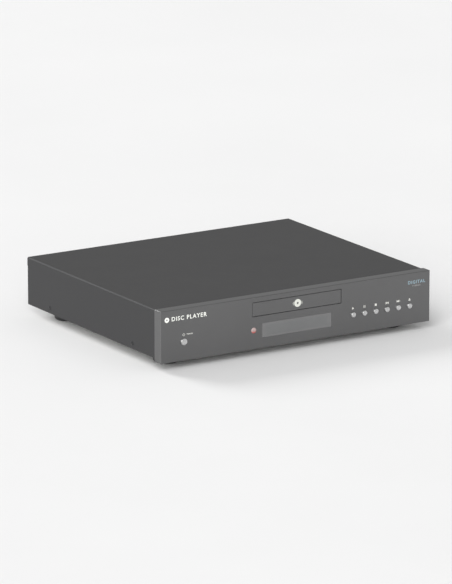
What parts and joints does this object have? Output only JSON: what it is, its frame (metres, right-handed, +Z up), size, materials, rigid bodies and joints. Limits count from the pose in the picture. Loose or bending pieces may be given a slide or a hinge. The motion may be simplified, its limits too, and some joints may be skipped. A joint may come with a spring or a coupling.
{
  "type": "cd player",
  "caption": "Full-width hi-fi disc player: flat case on four round feet, sliding disc tray over a display window, round buttons, phono and digital outputs at the rear.",
  "frame": {"origin": "middle of the footprint's box on the surface that the feet stand on", "axes": "+X to the right seen from the front, +Y to the rear, +Z up"},
  "size_m": [0.43, 0.367, 0.083],
  "materials": {
    "panel_aluminium": "satin anodised grey",
    "button_metal": "fine satin",
    "cover_paint": "satin dark grey, fine texture",
    "rear_paint": "matt black",
    "plated_steel": "zinc plated",
    "screw_steel": "plated",
    "window_acrylic": "smoke tinted, clear",
    "display_glass": "dark glass",
    "sensor_acrylic": "red tinted, clear",
    "foot_plastic": "matt black",
    "foot_rubber": "matt",
    "tray_plastic": "fine spark texture",
    "frame_plastic": "moulded black",
    "gear_plastic": "natural acetal",
    "motor_can": "plated can",
    "turntable_plastic": "moulded with rubber seat",
    "sled_metal": "die cast",
    "lens_glass": "coated lens",
    "board_laminate": "green solder mask",
    "component_black": "moulded epoxy",
    "coil_tape": "yellow tape",
    "sink_aluminium": "extruded",
    "ribbon_film": "flat flexible cable",
    "connector_black": "moulded black",
    "ring_plastic": "white, red and black rings",
    "jack_metal": "nickel plated"
  },
  "bodies": {
    "chassis": {"front_panel": "panel_aluminium", "top_cover": "cover_paint", "rear_panel": "rear_paint", "chassis_base": "plated_steel", "clamp_bridge": "plated_steel", "transformer_core": "plated_steel", "case_screws": "screw_steel", "foot_screws": "screw_steel", "loader_screws": "screw_steel", "board_screws": "screw_steel", "inlet_pins": "screw_steel", "display_window": "window_acrylic", "display_module": "display_glass", "sensor_lens": "sensor_acrylic", "feet": "foot_plastic", "foot_pads": "foot_rubber", "drive_belt": "foot_rubber", "loader_frame": "frame_plastic", "tray_motor": "motor_can", "front_board": "board_laminate", "main_board": "board_laminate", "power_board": "board_laminate", "board_chips": "component_black", "button_switches": "component_black", "capacitors": "component_black", "transformer_coil": "coil_tape", "heatsink": "sink_aluminium", "front_ribbon": "ribbon_film", "jack_housings": "connector_black", "optical_socket": "connector_black", "mains_inlet": "connector_black", "jack_rings": "ring_plastic", "jack_sleeves": "jack_metal"},
    "drawer": {"disc_tray": "tray_plastic", "tray_front": "panel_aluminium"},
    "rack_wheel": {"tray_gear": "gear_plastic"},
    "belt_wheel": {"belt_gear": "gear_plastic"},
    "motor_wheel": {"motor_pulley": "gear_plastic"},
    "clamp": {"disc_clamp": "frame_plastic", "clamp_cap": "frame_plastic"},
    "lift": {"lift_frame": "frame_plastic", "damper_bushes": "foot_rubber", "damper_screws": "screw_steel", "pickup_base": "frame_plastic", "guide_rods": "screw_steel", "spindle_motor": "motor_can", "sled_motor": "motor_can"},
    "slider": {"lift_slider": "frame_plastic"},
    "platter": {"turntable": "turntable_plastic"},
    "pickup": {"pickup_sled": "sled_metal", "pickup_lens": "lens_glass"},
    "sled_wheel": {"sled_gear": "gear_plastic"},
    "sled_drive": {"sled_pinion": "gear_plastic"},
    "power": {"power_button": "button_metal"},
    "play": {"play_button": "button_metal"},
    "pause": {"pause_button": "button_metal"},
    "stop": {"stop_button": "button_metal"},
    "back": {"back_button": "button_metal"},
    "forward": {"forward_button": "button_metal"},
    "eject": {"eject_button": "button_metal"}
  },
  "joints": [
    {"name": "tray_slide", "type": "slide", "parent": "chassis", "child": "drawer", "axis": [0, -1, 0], "range_m": [0, 0.14]},
    {"name": "rack_wheel_spin", "type": "hinge", "parent": "chassis", "child": "rack_wheel", "pos_m": [-0.036, -0.1475, 0.0534], "axis": [0, 0, 1], "range_deg": [-5, 673.5]},
    {"name": "belt_wheel_spin", "type": "hinge", "parent": "chassis", "child": "belt_wheel", "pos_m": [-0.016, -0.1475, 0.0534], "axis": [0, 0, 1], "range_deg": [-1564.7, 5]},
    {"name": "motor_wheel_spin", "type": "hinge", "parent": "chassis", "child": "motor_wheel", "pos_m": [0.025, -0.1475, 0.0534], "axis": [0, 0, 1], "range_deg": [-5695.9, 5]},
    {"name": "lift_tilt", "type": "hinge", "parent": "chassis", "child": "lift", "pos_m": [0, -0.016, 0.0459], "axis": [1, 0, 0], "range_deg": [0, 2.5]},
    {"name": "slider_slide", "type": "slide", "parent": "chassis", "child": "slider", "axis": [1, 0, 0], "range_m": [0, 0.0141]},
    {"name": "platter_spin", "type": "hinge", "parent": "lift", "child": "platter", "pos_m": [0, -0.108, 0.0634], "axis": [0, 0, 1], "continuous": true},
    {"name": "clamp_spin", "type": "hinge", "parent": "chassis", "child": "clamp", "pos_m": [0, -0.108, 0.0694], "axis": [0, 0, 1], "continuous": true},
    {"name": "sled_slide", "type": "slide", "parent": "lift", "child": "pickup", "axis": [0, 1, 0], "range_m": [0, 0.034]},
    {"name": "sled_wheel_spin", "type": "hinge", "parent": "lift", "child": "sled_wheel", "pos_m": [0.04, -0.057, 0.0554], "axis": [0, 0, 1], "range_deg": [-248.5, 5]},
    {"name": "sled_drive_spin", "type": "hinge", "parent": "lift", "child": "sled_drive", "pos_m": [0.04, -0.0738, 0.0534], "axis": [0, 0, 1], "range_deg": [-5, 613.8]},
    {"name": "power_push", "type": "slide", "parent": "chassis", "child": "power", "axis": [0, 1, 0], "range_m": [0, 0.0008], "stiffness_N_per_m": 800},
    {"name": "play_push", "type": "slide", "parent": "chassis", "child": "play", "axis": [0, 1, 0], "range_m": [0, 0.0008], "stiffness_N_per_m": 800},
    {"name": "pause_push", "type": "slide", "parent": "chassis", "child": "pause", "axis": [0, 1, 0], "range_m": [0, 0.0008], "stiffness_N_per_m": 800},
    {"name": "stop_push", "type": "slide", "parent": "chassis", "child": "stop", "axis": [0, 1, 0], "range_m": [0, 0.0008], "stiffness_N_per_m": 800},
    {"name": "back_push", "type": "slide", "parent": "chassis", "child": "back", "axis": [0, 1, 0], "range_m": [0, 0.0008], "stiffness_N_per_m": 800},
    {"name": "forward_push", "type": "slide", "parent": "chassis", "child": "forward", "axis": [0, 1, 0], "range_m": [0, 0.0008], "stiffness_N_per_m": 800},
    {"name": "eject_push", "type": "slide", "parent": "chassis", "child": "eject", "axis": [0, 1, 0], "range_m": [0, 0.0008], "stiffness_N_per_m": 800}
  ],
  "couplings": [
    {"joint": "rack_wheel_spin", "follows": "tray_slide", "rad_per_m": 83.333},
    {"joint": "belt_wheel_spin", "follows": "tray_slide", "rad_per_m": -194.44},
    {"joint": "motor_wheel_spin", "follows": "tray_slide", "rad_per_m": -709.46},
    {"joint": "slider_slide", "follows": "lift_tilt", "m_per_rad": 0.32086},
    {"joint": "clamp_spin", "follows": "platter_spin", "ratio": 1},
    {"joint": "sled_wheel_spin", "follows": "sled_slide", "rad_per_m": -125},
    {"joint": "sled_drive_spin", "follows": "sled_slide", "rad_per_m": 312.5}
  ]
}
